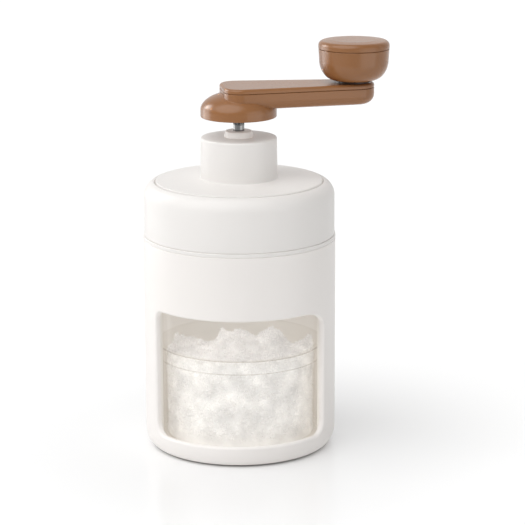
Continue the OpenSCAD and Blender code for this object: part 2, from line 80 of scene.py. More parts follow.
WINDOW_LOW = 10.9
WINDOW_HIGH = 74.6
WINDOW_ANGLE = 60.0
WINDOW_CORNERS = {"low": (7.2, 7.2), "left": (4.8, 4.8), "right": (16.0, 8.6)}
WINDOW_FILLET = 1.1
WINDOW_INNER_FILLET = 0.35
WINDOW_POINTS = (40, 8)
CORNER_STEPS = 12
PATCH_SIDE = 68.0
PATCH_LOW = SHELL_Z + SHELL_CURVE[1]
PATCH_HIGH = 82.0

CUP_R = high("ice_cup")[0]
CUP_Z = low("ice_cup")[2]
CUP_TOP = high("ice_cup")[2]
CUP_BAND = 7.0
CUP_BORE = 38.2
CUP_WALL = 2.2
CUP_TAPER = 0.7
HEAP_LEVEL = 48.0
# The heap's mounds: x, y, rise, width and depth.
HEAP_MOUNDS = (
    (3.0, -2.0, 4.2, 19.0, 10.0), (-9.1, 0.0, 5.0, 1.7, 3.5), (0.0, 0.0, 6.4, 6.2, 7.0),
    (16.9, 0.0, 7.6, 4.4, 6.0), (-30.5, 16.0, 6.2, 8.0, 6.0), (36.0, 10.0, 7.0, 3.5, 6.0),
)
GRAIN_SIZES = (0.35, 1.0)
GRAINS_ON_TOP = 9500
# Grains at the side: how many, the middle of their arc and its half width in degrees.
GRAINS_AT_SIDE = ((13000, -90, 75), (2500, 90, 105))

COVER_R = high("cover_shell")[1]
COVER_Z = low("cover_shell")[2]
PLATE_R = 41.6
PLATE_UNDER = low("top_plate")[2] + 2.45
PLATE_TOP = PLATE_UNDER + 2.5
COVER_TOP = PLATE_TOP + 0.25
COVER_SHOULDER = 7.4
NECK_TOP = high("top_plate")[2]
NECK_R = 18.95
BUSH_TOP = high("shaft_bush")[2]
BUSH_Z = low("shaft_bush")[2]
BUSH_R = 5.0
COLLAR_R = 7.4
SHAFT_R = 2.8
SHAFT_Z = low("drive_shaft")[2]
SHAFT_TOP = high("drive_shaft")[2]

HUB_Z = low("crank_body")[2]
HUB_R = 18.9
ARM_SEAM = low("arm_cover")[2]
ARM_TOP = high("arm_cover")[2]
ARM_Z = HUB_Z + 5.0
# The arm's plan: its two corners' place and radius at the hub, and its radius at the knob.
ARM_CORNER = (0.1, 7.0)
ARM_CORNER_R = 8.5
ARM_END_R = 10.2
KNOB_R = (high("knob_cap")[0] - low("knob_cap")[0]) / 2
KNOB_Z = low("knob_body")[2]
KNOB_SEAM = high("knob_body")[2]
KNOB_TOP = high("knob_cap")[2]
KNOB_XY = tuple((low("knob_cap")[i] + high("knob_cap")[i]) / 2 for i in (0, 1))
CRANK_REACH = math.hypot(*KNOB_XY)
CRANK_ANGLE = math.atan2(KNOB_XY[1], KNOB_XY[0])


# ---- Outlines ----

def arc_points(before, here, after, radius, steps):
    """A corner of an outline as an arc that touches both its sides."""
    here = Vector(here)
    a = (Vector(before) - here).normalized()
    b = (Vector(after) - here).normalized()
    half = a.angle(b) / 2
    centre = here + (a + b).normalized() * radius / math.sin(half)
    start = here + a * radius / math.tan(half) - centre
    finish = here + b * radius / math.tan(half) - centre
    first = math.atan2(start.y, start.x)
    sweep = (math.atan2(finish.y, finish.x) - first + math.pi) % TURN - math.pi
    angles = [first + sweep * i / steps for i in range(steps + 1)]
    return [(centre.x + radius * math.cos(t), centre.y + radius * math.sin(t)) for t in angles]


def rounded(points, steps=8):
    """A closed outline of (x, y) or (x, y, corner radius) points with its corners turned into arcs."""
    out = []
    count = len(points)
    for i, point in enumerate(points):
        if len(point) == 2:
            out.append(tuple(point))
            continue
        before = points[i - 1][:2]
        after = points[(i + 1) % count][:2]
        out.extend(arc_points(before, point[:2], after, point[2], steps))
    return out


def ellipse(centre, half_w, half_h, first, last, steps=14):
    """Points along part of an ellipse, with its angles in degrees."""
    angles = [math.radians(first + (last - first) * i / steps) for i in range(steps + 1)]
    return [(centre[0] + half_w * math.cos(t), centre[1] + half_h * math.sin(t)) for t in angles]


def with_steps(points, longest):
    """An outline with its long straight sides cut into shorter ones."""
    out = []
    for i, point in enumerate(points):
        after = points[(i + 1) % len(points)]
        parts = max(1, math.ceil(math.dist(point, after) / longest))
        out.extend(
            (point[0] + (after[0] - point[0]) * k / parts, point[1] + (after[1] - point[1]) * k / parts)
            for k in range(parts)
        )
    return out


# ---- Meshes ----

def make_object(name, vertices, faces, material, smooth_angle=38):
    """A mesh object from vertices in millimetres, smooth except at its sharp edges."""
    mesh = bpy.data.meshes.new(name)
    mesh.from_pydata([Vector(v) * MM for v in vertices], [], faces)
    mesh.validate()
    work = bmesh.new()
    work.from_mesh(mesh)
    bmesh.ops.remove_doubles(work, verts=work.verts, dist=1e-7)
    bmesh.ops.recalc_face_normals(work, faces=work.faces)
    work.to_mesh(mesh)
    work.free()
    piece = bpy.data.objects.new(name, mesh)
    bpy.context.scene.collection.objects.link(piece)
    mesh.materials.append(material)
    finish_shading(piece, smooth_angle)
    return piece


def finish_shading(piece, smooth_angle=38):
    """Smooth faces, sharp creases, and flat faces that stay flat beside their fillets."""
    mesh = piece.data
    mesh.polygons.foreach_set("use_smooth", [True] * len(mesh.polygons))
    mesh.set_sharp_from_angle(angle=math.radians(smooth_angle))
    weighted = piece.modifiers.new("weighted", "WEIGHTED_NORMAL")
    weighted.keep_sharp = True
    weighted.weight = 80


def lathe_mesh(outline, segments=FINE, centre=(0.0, 0.0), closed=True):
    """Vertices and faces of an outline of (radius, height) points turned round a vertical axis."""
    vertices, rings, faces = [], [], []
    for radius, height in outline:
        if radius < 1e-6:
            rings.append([len(vertices)] * segments)
            vertices.append((centre[0], centre[1], height))
            continue
        rings.append(list(range(len(vertices), len(vertices) + segments)))
        for k in range(segments):
            angle = TURN * k / segments
            x, y = centre[0] + radius * math.cos(angle), centre[1] + radius * math.sin(angle)
            vertices.append((x, y, height))
    pairs = list(zip(rings, rings[1:] + rings[:1])) if closed else list(zip(rings, rings[1:]))
    for a, b in pairs:
        for k in range(segments):
            n = (k + 1) % segments
            corners = list(dict.fromkeys((a[k], a[n], b[n], b[k])))
            if len(corners) > 2:
                faces.append(corners)
    return vertices, faces


def lathe(name, outline, material, segments=FINE, centre=(0.0, 0.0), longest=4.0):
    """A solid of revolution. An outline that starts and ends on the axis closes there."""
    points = with_steps(outline, longest)
    on_axis = outline[0][0] < 1e-6 and outline[-1][0] < 1e-6
    if on_axis:
        points = [p for i, p in enumerate(points) if p[0] > 1e-6 or i == 0 or p == tuple(outline[-1])]
    vertices, faces = lathe_mesh(points, segments, centre, closed=not on_axis)
    return make_object(name, vertices, faces, material)


def add_mesh(base, extra):
    """Two (vertices, faces) meshes as one."""
    shift = len(base[0])
    return base[0] + extra[0], base[1] + [[i + shift for i in face] for face in extra[1]]


def arc_block(inner, outer, bottom, top, first, last, edge=0.3, step=1.5):
    """A block between two radii, two heights and two angles from the front, in degrees, with eased edges."""
    count = max(2, math.ceil((last - first) / step))
    section = rounded(
        [(inner, bottom, edge), (outer, bottom, edge), (outer, top, edge), (inner, top, edge)], steps=3
    )
    ease = math.degrees(edge / outer)
    angles = [first + ease * (1 - math.cos(t)) for t in (0.0, 0.8, 1.2)]
    angles += [first + ease + (last - first - 2 * ease) * i / count for i in range(count + 1)]
    angles += [last - ease * (1 - math.cos(t)) for t in (1.2, 0.8, 0.0)]
    middle = ((inner + outer) / 2, (bottom + top) / 2)
    vertices, faces = [], []
    for i, angle in enumerate(angles):
        from_end = min(i, len(angles) - 1 - i)
        inset = edge * (1 - math.sin((0.0, 0.8, 1.2)[from_end])) if from_end < 3 else 0.0
        for r, z in section:
            r -= math.copysign(min(inset, abs(r - middle[0])), r - middle[0])
            z -= math.copysign(min(inset, abs(z - middle[1])), z - middle[1])
            vertices.append((r * math.sin(math.radians(angle)), -r * math.cos(math.radians(angle)), z))
    size = len(section)
    for i in range(len(angles) - 1):
        for k in range(size):
            n = (k + 1) % size
            faces.append([i * size + k, i * size + n, (i + 1) * size + n, (i + 1) * size + k])
    faces.append(list(range(size)))
    faces.append([(len(angles) - 1) * size + k for k in reversed(range(size))])
    return vertices, faces


def loft(levels, material, name):
    """A closed solid through closed outlines of the same number of points, each at its own height."""
    vertices, faces = [], []
    size = len(levels[0][1])
    for height, outline in levels:
        vertices.extend((x, y, height) for x, y in outline)
    for i in range(len(levels) - 1):
        for k in range(size):
            n = (k + 1) % size
            faces.append([i * size + k, i * size + n, (i + 1) * size + n, (i + 1) * size + k])
    faces.append(list(range(size)))
    faces.append([(len(levels) - 1) * size + k for k in range(size)])
    return make_object(name, vertices, faces, material)


def let_light_through(piece):
    """Clear plastic stops almost no light, so lamps and bounced light pass it."""
    piece.visible_shadow = False
    piece.visible_diffuse = False


def cut(piece, tool, operation):
    """Applies a boolean with another object, and removes that object."""
    change = piece.modifiers.new("cut", "BOOLEAN")
    change.object = tool
    change.operation = operation
    change.solver = "EXACT"
    bpy.context.view_layer.objects.active = piece
    for modifier in [m for m in piece.modifiers if m.type == "WEIGHTED_NORMAL"]:
        piece.modifiers.remove(modifier)
    bpy.ops.object.modifier_apply(modifier=change.name)
    bpy.data.objects.remove(tool)


# ---- Materials ----

def srgb(red, green, blue):
    """A colour from 0 to 255 as Blender's linear colour."""
    def linear(value):
        value /= 255
        return value / 12.92 if value <= 0.04045 else ((value + 0.055) / 1.055) ** 2.4
    return (linear(red), linear(green), linear(blue), 1.0)


class Nodes:
    """Short names for building a material's nodes."""

    def __init__(self, name):
        self.material = bpy.data.materials.new(name)
        self.material.use_nodes = True
        self.tree = self.material.node_tree
        self.tree.nodes.clear()

    def add(self, kind, inputs=None, **settings):
        node = self.tree.nodes.new(kind)
        for key, value in settings.items():
            setattr(node, key, value)
        for key, value in (inputs or {}).items():
            if hasattr(value, "is_output"):
                self.tree.links.new(value, node.inputs[key])
            else:
                node.inputs[key].default_value = value
        return node

    def finish(self, surface):
        out = self.add("ShaderNodeOutputMaterial")
        self.tree.links.new(surface, out.inputs["Surface"])
        return self.material

    def place(self):
        """Object coordinates in metres."""
        return self.add("ShaderNodeTexCoord").outputs["Object"]

    def noise(self, scale, detail=3.0, rough=0.5):
        """Noise from 0 to 1. A scale of 100 repeats about every 10 mm."""
        return self.add("ShaderNodeTexNoise", {
            "Vector": self.place(), "Scale": scale, "Detail": detail, "Roughness": rough,
        }).outputs["Fac"]

    def spread(self, value, first, last):
        """A value from 0 to 1 mapped to another range."""
        return self.add("ShaderNodeMapRange", {
            "Value": value, "To Min": first, "To Max": last,
        }).outputs["Result"]

    def mix_color(self, amount, first, last):
        node = self.add("ShaderNodeMix", {"Factor": amount}, data_type="RGBA")
        node.inputs[6].default_value = first
        node.inputs[7].default_value = last
        return node.outputs[2]

    def bump(self, height, distance, strength=1.0):
        return self.add(
            "ShaderNodeBump", {"Height": height, "Distance": distance, "Strength": strength}
        ).outputs["Normal"]


def moulded_plastic(name, light, dark, rough, grain=0.00002, painted_glow=0.0, sheen=0.5):
    """Satin moulded plastic: a fine skin, faint flow marks and a slightly uneven sheen.

    Painted glow is emission: painted light that brightens a part's shaded sides, in place of light that
    comes through a thin wall from outside.
    """
    n = Nodes(name)
    flow = n.noise(22.0, 2.0)
    skin = n.noise(2600.0, 2.0, 0.6)
    color = n.mix_color(n.spread(flow, 0.0, 1.0), light, dark)
    shader = n.add("ShaderNodeBsdfPrincipled", {
        "Base Color": color,
        "Roughness": n.spread(n.noise(60.0, 3.0), rough - 0.03, rough + 0.03),
        "IOR": 1.49,
        "Specular IOR Level": sheen,
        # Emission is painted light: it brightens the part where it lies in shade.
        "Emission Color": light,
        "Emission Strength": painted_glow,
        "Normal": n.bump(skin, grain),
    })
    return n.finish(shader.outputs[0])


def clear_plastic(name, tint, edge_tint, sheen_limit=0.9):
    """Clear thin-walled plastic: see-through face on, darker and glossier where it turns away."""
    n = Nodes(name)
    facing = n.add("ShaderNodeLayerWeight", {"Blend": 0.5}).outputs["Facing"]
    pane = n.add("ShaderNodeBsdfTransparent", {"Color": n.mix_color(facing, tint, edge_tint)})
    sheen = n.add("ShaderNodeBsdfGlossy", {
        "Color": (1.0, 1.0, 1.0, 1.0), "Roughness": n.spread(n.noise(90.0), 0.03, 0.07),
    })
    grazing = n.add("ShaderNodeMath", {0: facing, 1: 5.0}, operation="POWER").outputs[0]
    mix = n.add("ShaderNodeMixShader", {"Fac": n.spread(grazing, 0.025, sheen_limit)})
    n.tree.links.new(pane.outputs[0], mix.inputs[1])
    n.tree.links.new(sheen.outputs[0], mix.inputs[2])
    return n.finish(mix.outputs[0])


def turned_steel(name, rough=0.09):
    """Bright steel with fine turning marks round it."""
    n = Nodes(name)
    height = n.add("ShaderNodeSeparateXYZ", {"Vector": n.place()}).outputs["Z"]
    rings = n.add("ShaderNodeTexNoise", {
        "Vector": n.add("ShaderNodeCombineXYZ", {"Z": height}).outputs[0], "Scale": 5200.0, "Detail": 2.0,
    }).outputs["Fac"]
    shader = n.add("ShaderNodeBsdfPrincipled", {
        "Base Color": n.mix_color(n.noise(140.0), (0.22, 0.215, 0.21, 1.0), (0.28, 0.28, 0.28, 1.0)),
        "Metallic": 1.0,
        "Roughness": n.spread(n.noise(300.0), rough, rough + 0.08),
        "Normal": n.bump(rings, 0.000004),
    })
    return n.finish(shader.outputs[0])


def soft_rubber(name, color):
    """Dull rubber with a fine matt skin."""
    n = Nodes(name)
    darker = tuple(c * 0.7 for c in color[:3]) + (1.0,)
    shader = n.add("ShaderNodeBsdfPrincipled", {
        "Base Color": n.mix_color(n.noise(180.0, 4.0), color, darker),
        "Roughness": n.spread(n.noise(90.0), 0.62, 0.8),
        "IOR": 1.5,
        "Normal": n.bump(n.noise(1800.0), 0.00006),
    })
    return n.finish(shader.outputs[0])


def shaved_ice(name):
    """Packed snow: bright grains that pass some light through, with a painted glow in its shade and random
    grey patches of painted shade.
    """
    n = Nodes(name)
    # Grey patches at random places: painted shade in place of shadowed pockets.
    painted_shade_patches = n.noise(110.0, 4.0, 0.6)
    color = n.mix_color(n.spread(painted_shade_patches, -0.5, 1.5), srgb(230, 228, 227), srgb(254, 253, 252))
    normal = n.bump(n.noise(1500.0, 3.0, 0.6), 0.0002, 0.5)
    skin = n.add("ShaderNodeBsdfPrincipled", {
        "Base Color": color,
        "Roughness": n.spread(n.noise(700.0, 3.0), 0.2, 0.7),
        "IOR": 1.31,
        # Emission is painted light that brightens the heap in the cup's shade.
        "Emission Color": (1.0, 0.99, 0.98, 1.0),
        "Emission Strength": 0.15,
        "Normal": normal,
    })
    through = n.add("ShaderNodeBsdfTranslucent", {"Color": color, "Normal": normal})
    mix = n.add("ShaderNodeMixShader", {"Fac": 0.25})
    n.tree.links.new(skin.outputs[0], mix.inputs[1])
    n.tree.links.new(through.outputs[0], mix.inputs[2])
    return n.finish(mix.outputs[0])


def clear_edge(name, tint, sheen):
    """A moulded edge of clear plastic, drawn as a thin grey line from outside: a painted shade tint in place
    of the light the edge bends away.
    """
    n = Nodes(name)
    inside = n.add("ShaderNodeNewGeometry").outputs["Backfacing"]
    pane = n.add("ShaderNodeBsdfTransparent", {"Color": n.mix_color(inside, tint, (0.98, 0.98, 0.975, 1.0))})
    gloss = n.add("ShaderNodeBsdfGlossy", {
        "Color": (1.0, 1.0, 1.0, 1.0), "Roughness": n.spread(n.noise(90.0), 0.08, 0.14),
    })
    mix = n.add("ShaderNodeMixShader", {"Fac": n.spread(inside, sheen, 0.0)})
    n.tree.links.new(pane.outputs[0], mix.inputs[1])
    n.tree.links.new(gloss.outputs[0], mix.inputs[2])
    return n.finish(mix.outputs[0])


WHITE = moulded_plastic("white_plastic", srgb(238, 235, 232), srgb(234, 231, 228), 0.42, sheen=0.3)
# A darker copy of the white with a painted glow: painted shade and painted light that even out the neck's
# lit and shaded sides.
NECK_WHITE = moulded_plastic(
    "neck_plastic", srgb(216, 213, 210), srgb(212, 209, 206), 0.42, painted_glow=0.2, sheen=0.3
)
SHELL_WHITE = moulded_plastic("shell_plastic", srgb(243, 239, 236), srgb(240, 236, 232), 0.42)
# The inside wall's glow is painted light that brightens the shaded inside of the shell.
INNER_WALL = moulded_plastic("inner_wall_plastic", srgb(240, 237, 233), srgb(236, 233, 228), 0.5, painted_glow=0.09)
INNER_WHITE = moulded_plastic("inner_white_plastic", srgb(232, 228, 223), srgb(227, 223, 217), 0.48)
BROWN = moulded_plastic("brown_plastic", srgb(149, 101, 61), srgb(142, 95, 56), 0.23)
# The knob's washer is dark brown so that it shows as the dark gap under the knob: painted shade.
WASHER_SHADE_BROWN = moulded_plastic("washer_painted_shade_plastic", srgb(74, 50, 36), srgb(68, 45, 32), 0.4)
# The collar's glow is painted light that brightens it in the hub's shade.
COLLAR_WHITE = moulded_plastic("collar_plastic", srgb(240, 237, 234), srgb(236, 233, 229), 0.42, painted_glow=0.2)
CLEAR_PANE = clear_plastic("clear_pane", (0.995, 0.995, 0.99, 1.0), (0.97, 0.965, 0.95, 1.0))
CLEAR_CUP = clear_plastic("clear_cup", (0.995, 0.995, 0.99, 1.0), (0.968, 0.962, 0.952, 1.0), 0.12)
# The cup's edge lines are a painted grey tint: painted shade.
CUP_EDGE = clear_edge("clear_cup_edge", (0.80, 0.775, 0.74, 1.0), 0.10)
STEEL = turned_steel("turned_steel")
SPRING_STEEL = turned_steel("spring_steel", 0.24)
RUBBER = soft_rubber("grey_rubber", srgb(96, 96, 98))
SEAL = soft_rubber("seal_rubber", srgb(176, 172, 166))
ICE = shaved_ice("shaved_ice")


# ---- Shell with its window ----

def window_outline(grow):
    """The window's edge as (angle in degrees, height) points, drawn outwards by some millimetres."""
    per_degree = SHELL_R * math.pi / 180
    half = WINDOW_ANGLE * per_degree + grow
    bottom, top = WINDOW_LOW - grow, WINDOW_HIGH + grow
    corners = (("low", 1, bottom, -90), ("right", 1, top, 0), ("left", -1, top, 90),
               ("low", -1, bottom, 180))
    arcs = []
    for kind, side, end, first in corners:
        wide_r, tall_r = (size + grow for size in WINDOW_CORNERS[kind])
        inward = 1 if end == bottom else -1
        centre = (side * (half - wide_r), end + inward * tall_r)
        arcs.append(ellipse(centre, wide_r, tall_r, first, first + 90, CORNER_STEPS))
    wide, tall = WINDOW_POINTS
    points = []
    for i, arc in enumerate(arcs):
        x, z = arc[-1]
        next_x, next_z = arcs[(i + 1) % 4][0]
        parts = tall if i % 2 == 0 else wide
        points.extend(arc)
        points.extend((x + (next_x - x) * k / parts, z + (next_z - z) * k / parts) for k in range(1, parts))
    return [(x / per_degree, z) for x, z in points]


def on_wall(angle, radius, height):
    """A point of the shell's wall at an angle from the front."""
    turn = math.radians(angle)
    return (radius * math.sin(turn), -radius * math.cos(turn), height)


def frame_outline(inner):
    """A rectangle round the window, with one point for each point of the window's edge."""
    wide, tall = WINDOW_POINTS
    arc, half = CORNER_STEPS + 1, CORNER_STEPS // 2
    out = [(max(-PATCH_SIDE, min(PATCH_SIDE, angle)), z) for angle, z in inner]
    corners = [(PATCH_SIDE, PATCH_LOW), (PATCH_SIDE, PATCH_HIGH)]
    corners += [(-PATCH_SIDE, PATCH_HIGH), (-PATCH_SIDE, PATCH_LOW)]
    start = 0
    for c, corner in enumerate(corners):
        before, after = inner[start], inner[start + CORNER_STEPS]
        upright = c % 2 == 0
        first_end = (before[0], corner[1]) if upright else (corner[0], before[1])
        last_end = (corner[0], after[1]) if upright else (after[0], corner[1])
        for k in range(arc):
            near, far = (first_end, corner) if k <= half else (corner, last_end)
            share = k / half if k <= half else k / half - 1
            out[start + k] = tuple(a + (b - a) * share for a, b in zip(near, far))
        straight = (tall if upright else wide) - 1
        for k in range(start + arc, start + arc + straight):
            angle, z = inner[k]
            out[k] = (corner[0], z) if upright else (angle, corner[1])
        start += arc + straight
    return out


def wall_patch(radius, start, outer, rings):
    """The wall between the window's edge and the patch's frame, as rings of vertices from edge to frame."""
    out = []
    for i in range(rings + 1):
        share = (i / rings) ** 1.3
        out.append([
            on_wall(a[0] + (b[0] - a[0]) * share, radius, a[1] + (b[1] - a[1]) * share)
            for a, b in zip(start, outer)
        ])
    return out


def shell_mesh():
    """The shell as one closed mesh: turned walls, with a patch on each that runs into the window's edge."""
    fillet_steps, inner_steps, patch_rings = 6, 3, 5
    grown = window_outline(WINDOW_FILLET)
    outer_frame = frame_outline(grown)
    rings = wall_patch(SHELL_R, grown, outer_frame, patch_rings)[::-1]
    for k in range(1, fillet_steps + 1):
        turn = math.pi / 2 * k / fillet_steps
        grow = WINDOW_FILLET * (1 - math.sin(turn))
        radius = SHELL_R - WINDOW_FILLET * (1 - math.cos(turn))
        rings.append([on_wall(a, radius, z) for a, z in window_outline(grow)])
    for k in range(inner_steps + 1):
        turn = math.pi / 2 * k / inner_steps
        grow = WINDOW_INNER_FILLET * (1 - math.cos(turn))
        radius = SHELL_BORE + WINDOW_INNER_FILLET * (1 - math.sin(turn))
        rings.append([on_wall(a, radius, z) for a, z in window_outline(grow)])
    rings += wall_patch(SHELL_BORE, window_outline(WINDOW_INNER_FILLET), outer_frame, patch_rings)[1:]
    vertices = [v for ring in rings for v in ring]
    size = len(grown)
    faces = []
    for i in range(len(rings) - 1):
        for k in range(size):
            n = (k + 1) % size
            faces.append([i * size + k, i * size + n, (i + 1) * size + n, (i + 1) * size + k])
    heights = (PATCH_LOW, PATCH_HIGH)
    columns = sorted({round(a, 6) for a, z in outer_frame if z in heights} | {-PATCH_SIDE, PATCH_SIDE})
    columns += [PATCH_SIDE + (360 - 2 * PATCH_SIDE) * i / 100 for i in range(1, 100)]
    rows = sorted({round(z, 6) for a, z in outer_frame if abs(a) == PATCH_SIDE} | set(heights))
    return add_mesh((vertices, faces), turned_walls(columns, rows))


def turned_walls(columns, rows):
    """All of the shell that is turned: floor, curve, walls and rim, open where the window's patches go."""
    curve = ellipse((SHELL_R - SHELL_CURVE[0], SHELL_Z + SHELL_CURVE[1]), *SHELL_CURVE, -90, 0, 16)
    pad_r = high("foot_pad")[0] + 0.2
    under = [(0.0, SHELL_Z + 1), (pad_r, SHELL_Z + 1), (pad_r + 0.15, SHELL_Z + 0.85)]
    under += [(pad_r + 0.15, SHELL_Z + 0.15), (pad_r + 0.3, SHELL_Z)] + curve[:-1]
    upper = [86.0, 90.0, 95.0, 100.0, NOTCH_Z, NOTCH_Z + 0.01]
    rim = arc_points((SHELL_R, 50), (SHELL_R, SHELL_TOP), (SHELL_BORE, SHELL_TOP), 0.5, 6)
    rim += arc_points((SHELL_R, SHELL_TOP), (SHELL_BORE, SHELL_TOP), (SHELL_BORE, 50), 0.4, 5)
    outline = under + [(SHELL_R, z) for z in rows] + [(SHELL_R, z) for z in upper] + rim
    outline += [(SHELL_BORE, z) for z in reversed(upper)] + [(SHELL_BORE, z) for z in reversed(rows)]
    outline += [(SHELL_BORE, SHELL_FLOOR), (42.0, SHELL_FLOOR), (30.0, SHELL_FLOOR), (0.0, SHELL_FLOOR)]
    vertices, rings, faces = [], [], []
    past_rim = len(under) + len(rows) + len(upper) + 6
    for index, (radius, z) in enumerate(outline):
        if radius < 1e-6:
            rings.append([len(vertices)] * len(columns))
            vertices.append((0.0, 0.0, z))
            continue
        rings.append(list(range(len(vertices), len(vertices) + len(columns))))
        notched = z > NOTCH_Z + 0.005 and index > past_rim
        for angle in columns:
            in_notch = notched and abs((angle + 60) % 120 - 60) < NOTCH_HALF
            vertices.append(on_wall(angle, max(radius, SHELL_BORE + NOTCH_DEPTH) if in_notch else radius, z))
    for i in range(len(outline) - 1):
        (radius, z), (next_radius, next_z) = outline[i], outline[i + 1]
        in_rows = min(z, next_z) > PATCH_LOW - 1e-6 and max(z, next_z) < PATCH_HIGH + 1e-6
        for k in range(len(columns)):
            n = (k + 1) % len(columns)
            if in_rows and radius == next_radius and columns[k] < PATCH_SIDE - 1e-6:
                continue
            corners = list(dict.fromkeys((rings[i][k], rings[i][n], rings[i + 1][n], rings[i + 1][k])))
            if len(corners) > 2:
                faces.append(corners)
    return vertices, faces


def build_shell():
    """The shell, its cup ring and the two guides that hold the pane."""
    shell = make_object("shell", *shell_mesh(), SHELL_WHITE)
    # Faces inside the shell get the inner wall's white, whose glow is painted light in the shaded inside.
    shell.data.materials.append(INNER_WALL)
    for face in shell.data.polygons:
        middle = face.center / MM
        inside = math.hypot(middle.x, middle.y) < SHELL_BORE + 0.05
        if inside and SHELL_FLOOR - 0.1 < middle.z < SHELL_TOP - 0.6:
            face.material_index = 1
    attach(shell, "base")
    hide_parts("outer_shell")
    ring = rounded([
        (CUP_BORE + 1.1, SHELL_FLOOR - 0.2), (CUP_BORE + 1.1, SHELL_FLOOR + 1.5, 0.4),
        (CUP_BORE + 2.6, SHELL_FLOOR + 1.5, 0.4), (CUP_BORE + 2.6, SHELL_FLOOR - 0.2),
    ])
    parts = lathe_mesh(ring)
    foot, top = SHELL_FLOOR - 0.3, high("window_pane")[2]
    for rib, lip in (((66.9, 69.3), (64.7, 68.3)), ((-69.3, -66.9), (-68.3, -64.7))):
        parts = add_mesh(parts, arc_block(CUP_R + 0.35, SHELL_BORE + 0.3, foot, top, *rib))
        parts = add_mesh(parts, arc_block(CUP_R + 0.45, SHELL_BORE - 1.4, foot, top - 0.5, *lip))
    # The cup ring and the pane's guides get the same painted glow.
    fittings = make_object("shell_fittings", *parts, INNER_WALL)
    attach(fittings, "base")


def build_pane():
    """The clear curved pane behind the window."""
    bottom, top = low("window_pane")[2], high("window_pane")[2]
    mesh = arc_block(SHELL_BORE - 1.3, SHELL_BORE - 0.1, bottom, top, -66.5, 66.5)
    pane = make_object("pane", *mesh, CLEAR_PANE)
    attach(pane, "base")
    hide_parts("window_pane")
    let_light_through(pane)


def build_foot_pad():
    """The rubber pad under the shell."""
    top, radius = high("foot_pad")[2], high("foot_pad")[0]
    outline = [(0.0, 0.0)] + rounded([(0.0, 0.0), (radius, 0.0, 0.5), (radius, top), (0.0, top)])[1:]
    pad = lathe("rubber_pad", outline, RUBBER)
    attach(pad, "base")
    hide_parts("foot_pad")


# ---- Cup and ice ----

def cup_inside(height):
    """The cup's inside radius at a height."""
    foot = CUP_BORE - CUP_TAPER
    return foot + (CUP_BORE - foot) * (height - CUP_Z - CUP_WALL) / (CUP_TOP - CUP_Z - CUP_WALL)


def build_cup():
    """The clear cup, with a band round its rim whose two edges show as grey lines of painted shade."""
    floor = CUP_Z + CUP_WALL
    band = CUP_TOP - CUP_BAND
    outline = rounded([
        (0.0, CUP_Z), (CUP_BORE + 0.6, CUP_Z, 1.5), (CUP_BORE + CUP_WALL, band, 0.5), (CUP_R, band, 0.5),
        (CUP_R, CUP_TOP, 1.2), (CUP_BORE, CUP_TOP, 1.2), (CUP_BORE - CUP_TAPER, floor, 1.0), (0.0, floor),
    ])
    cup = lathe("clear_cup", outline, CLEAR_CUP)
    cup.data.materials.append(CUP_EDGE)
    # The rim's edge and the band's edge get the grey edge tint: painted shade.
    for face in cup.data.polygons:
        middle = face.center / MM
        outside = math.hypot(middle.x, middle.y) > CUP_BORE + CUP_WALL - 0.1
        at_top = CUP_TOP - 0.6 < middle.z < CUP_TOP - 0.1
        at_band = band - 0.1 < middle.z < band + 0.5
        if outside and (at_top or at_band):
            face.material_index = 1
    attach(cup, "cup")
    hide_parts("ice_cup")
    let_light_through(cup)


def heap_height(x, y):
    """The heap's surface before its lumps. It is level in front and falls away toward the back."""
    height = HEAP_LEVEL - 0.22 * max(0.0, y + 6.0)
    for mound_x, mound_y, rise, wide, deep in HEAP_MOUNDS:
        height += rise * math.exp(-(((x - mound_x) / wide) ** 2 + ((y - mound_y) / deep) ** 2) / 2)
    return height


def lumps(x, y, z, size):
    """Signed noise whose lumps are about size millimetres across."""
    return noise.fractal(Vector((x, y, z)) / size, 0.9, 2.1, 3, noise_basis="PERLIN_ORIGINAL")


def ice_top(x, y):
    """The height of the heap's lumpy surface."""
    return heap_height(x, y) + 1.6 * lumps(x, y, 3.0, 6.0) + 1.2 * lumps(x, y, 9.0, 2.4)


def ice_surface():
    """The heap's skin: a lumpy top, a crumbly side just off the cup's wall, and a bottom."""
    around, top_steps, side_steps = 180, 44, 40
    bottom = CUP_Z + CUP_WALL + 0.3
    edge = CUP_BORE - 1.6
    vertices, faces = [], []
    for i in range(1, top_steps + side_steps + 1):
        reach = min(i / top_steps, 1.0)
        share = max(i - top_steps, 0) / side_steps
        for k in range(around):
            turn = TURN * k / around
            x, y = edge * reach * math.cos(turn), edge * reach * math.sin(turn)
            z = ice_top(x, y) * (1 - share) + bottom * share
            if share > 0:
                hollow = 0.35 + 1.1 * lumps(x, y, z, 6.0) + 0.8 * lumps(x, y, z, 2.4)
                loose = min(1.0, (z - bottom) / 9.0)
                scale = (cup_inside(z) - 0.5 - loose * (0.8 + max(0.0, hollow))) / edge
                x, y = x * scale, y * scale
            vertices.append((x, y, z))
    rings = top_steps + side_steps
    for i in range(rings - 1):
        for k in range(around):
            n = (k + 1) % around
            faces.append([i * around + k, i * around + n, (i + 1) * around + n, (i + 1) * around + k])
    for height, first in ((ice_top(0.0, 0.0), 0), (bottom, (rings - 1) * around)):
        vertices.append((0.0, 0.0, height))
        faces += [[len(vertices) - 1, first + (k + 1) % around, first + k] for k in range(around)]
    return vertices, faces


def crystal(place, size, pick):
    """One small irregular crystal: two uneven three-sided pyramids, base to base."""
    up, side = [Vector([pick.gauss(0, 1) for _ in range(3)]).normalized() for _ in range(2)]
    side = up.cross(side).normalized()
    across = up.cross(side)
    corners = [up, -up]
    corners += [side * math.cos(TURN * k / 3) + across * math.sin(TURN * k / 3) for k in range(3)]
    vertices = [tuple(Vector(place) + corner * size * pick.uniform(0.6, 1.3)) for corner in corners]
    return vertices, [[0, 2, 3], [0, 3, 4], [0, 4, 2], [1, 3, 2], [1, 4, 3], [1, 2, 4]]


